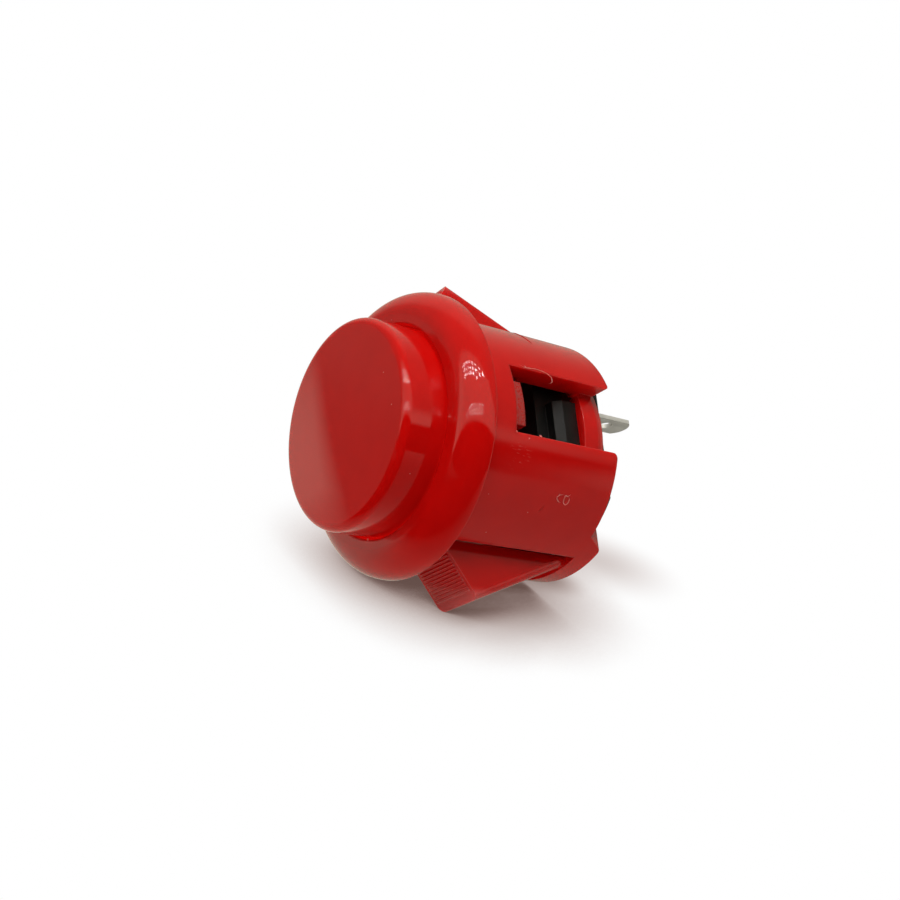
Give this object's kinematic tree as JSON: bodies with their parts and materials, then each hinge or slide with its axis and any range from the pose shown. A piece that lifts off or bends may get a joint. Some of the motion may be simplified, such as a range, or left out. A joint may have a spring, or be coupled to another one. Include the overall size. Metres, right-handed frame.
{
  "type": "arcade push button",
  "caption": "Snap-in arcade push button: round plunger in a domed rim, windowed barrel with sprung panel tabs, and a clip-in switch block with blade terminals.",
  "frame": {"origin": "centre of the rim's underside, where the button seats on its panel", "axes": "+Z out of the panel towards the finger; the snap tabs stand at +Y and -Y, the windows face +X and -X"},
  "size_m": [0.0338, 0.0396, 0.039],
  "materials": {
    "red_plastic": "glossy moulded red plastic, with fine mould lines and light scuffs",
    "black_plastic": "fine-grained black moulding",
    "terminal_tin": "dull tinned strip",
    "spring_steel": "drawn wire",
    "contact_bronze": "rolled strip",
    "contact_silver": "plain contact buttons"
  },
  "bodies": {
    "housing": {"housing": "red_plastic", "switch_cover": "black_plastic", "switch_base": "black_plastic", "common_terminal": "terminal_tin", "normally_open_terminal": "terminal_tin", "fixed_contact": "contact_silver", "leaf_rivet": "contact_bronze", "return_spring": "spring_steel"},
    "plunger": {"plunger": "red_plastic"},
    "actuator": {"switch_actuator": "black_plastic"},
    "leaf": {"contact_leaf": "contact_bronze", "moving_contact": "contact_silver"}
  },
  "joints": [
    {"name": "plunger_press", "type": "slide", "parent": "housing", "child": "plunger", "axis": [0, 0, -1], "range_m": [0, 0.003], "stiffness_N_per_m": 150, "springref_m": -0.004},
    {"name": "actuator_press", "type": "slide", "parent": "housing", "child": "actuator", "axis": [0, 0, -1], "range_m": [0, 0.003], "deforming": ["return_spring"]},
    {"name": "leaf_turn", "type": "hinge", "parent": "housing", "child": "leaf", "pos_m": [-0.0056, 0.00345, -0.01733], "axis": [0, 1, 0], "range_deg": [0, 3]}
  ],
  "couplings": [
    {"joint": "actuator_press", "follows": "plunger_press", "ratio": 1},
    {"joint": "leaf_turn", "follows": "plunger_press", "rad_per_m": 17.333}
  ]
}
